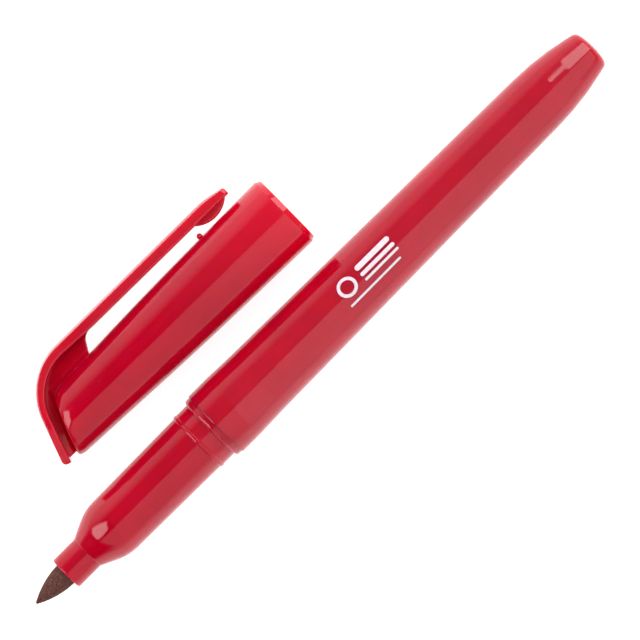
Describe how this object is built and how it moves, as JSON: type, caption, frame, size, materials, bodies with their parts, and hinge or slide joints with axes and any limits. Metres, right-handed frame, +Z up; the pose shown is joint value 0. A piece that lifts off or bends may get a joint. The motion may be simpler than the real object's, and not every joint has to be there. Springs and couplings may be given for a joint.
{
  "type": "felt tip marker",
  "caption": "Round felt tip marker lying open, with tapered barrel, bulb nose and bullet nib, and its cap beside it with a clip moulded round the closed end.",
  "frame": {"origin": "bottom centre of the bounding box of pen and cap, on the surface they lie on", "axes": "+X along the pen's axis from nib to tail, +Y from the pen towards the cap and its clip, +Z up"},
  "size_m": [0.126, 0.0332, 0.0132],
  "materials": {
    "barrel_plastic": "polished injection moulding",
    "section_plastic": "polished injection moulding",
    "cap_plastic": "polished injection moulding",
    "nib_felt": "bonded felt, ink-soaked",
    "reservoir_felt": "loose fibre, ink-soaked",
    "reservoir_sleeve": "clear film",
    "liner_plastic": "natural polyethylene",
    "print_ink": "pad-printed ink"
  },
  "bodies": {
    "pen": {"barrel": "barrel_plastic", "front_section": "section_plastic", "nib": "nib_felt", "reservoir_fibre": "reservoir_felt", "reservoir_film": "reservoir_sleeve", "barrel_print": "print_ink"},
    "cap": {"cap_shell": "cap_plastic", "inner_cap": "liner_plastic"},
    "clip": {"clip_arm": "cap_plastic"}
  },
  "joints": [
    {"name": "cap_slide", "type": "slide", "parent": "pen", "child": "cap", "axis": [-1, 0.0096, 0], "range_m": [0, 0.04]},
    {"name": "clip_flex", "type": "hinge", "parent": "cap", "child": "clip", "pos_m": [-0.02597, 0.01551, 0.00659], "axis": [0, 0, 1], "range_deg": [-0.6, 4], "stiffness_Nm_per_rad": 0.004}
  ]
}
